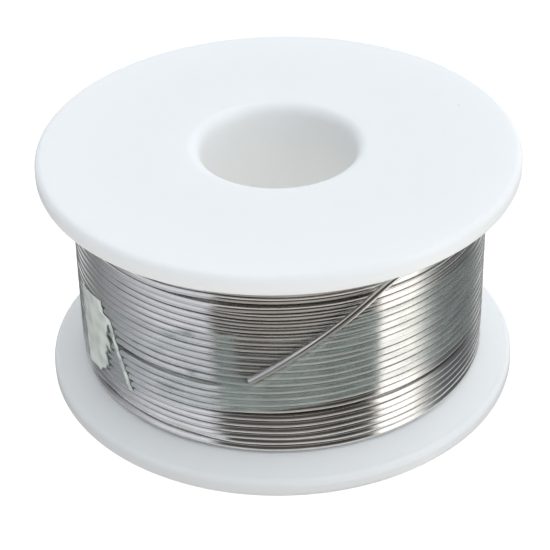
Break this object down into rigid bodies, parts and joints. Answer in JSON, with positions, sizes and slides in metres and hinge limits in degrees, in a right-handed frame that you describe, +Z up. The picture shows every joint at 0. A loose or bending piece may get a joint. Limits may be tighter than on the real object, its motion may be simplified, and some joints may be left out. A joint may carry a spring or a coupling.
{
  "type": "solder wire spool",
  "caption": "Moulded plastic reel wound with flux-cored solder wire, its free end laid over the pack and held by clear tape.",
  "frame": {"origin": "centre of the lower flange's outer face, on the surface the spool stands on", "axes": "+Z up along the spindle bore; the free end of the wire faces -Y"},
  "size_m": [0.056, 0.056, 0.0295],
  "materials": {
    "reel_plastic": "satin moulded",
    "solder": "bright drawn",
    "rosin": "glassy",
    "clear_tape": "clear gloss film"
  },
  "bodies": {
    "root": {"lower_reel_half": "reel_plastic", "upper_reel_half": "reel_plastic", "inner_layers": "solder", "outer_layer": "solder", "free_end": "solder", "flux_core": "rosin", "holding_tape": "clear_tape"}
  },
  "joints": []
}
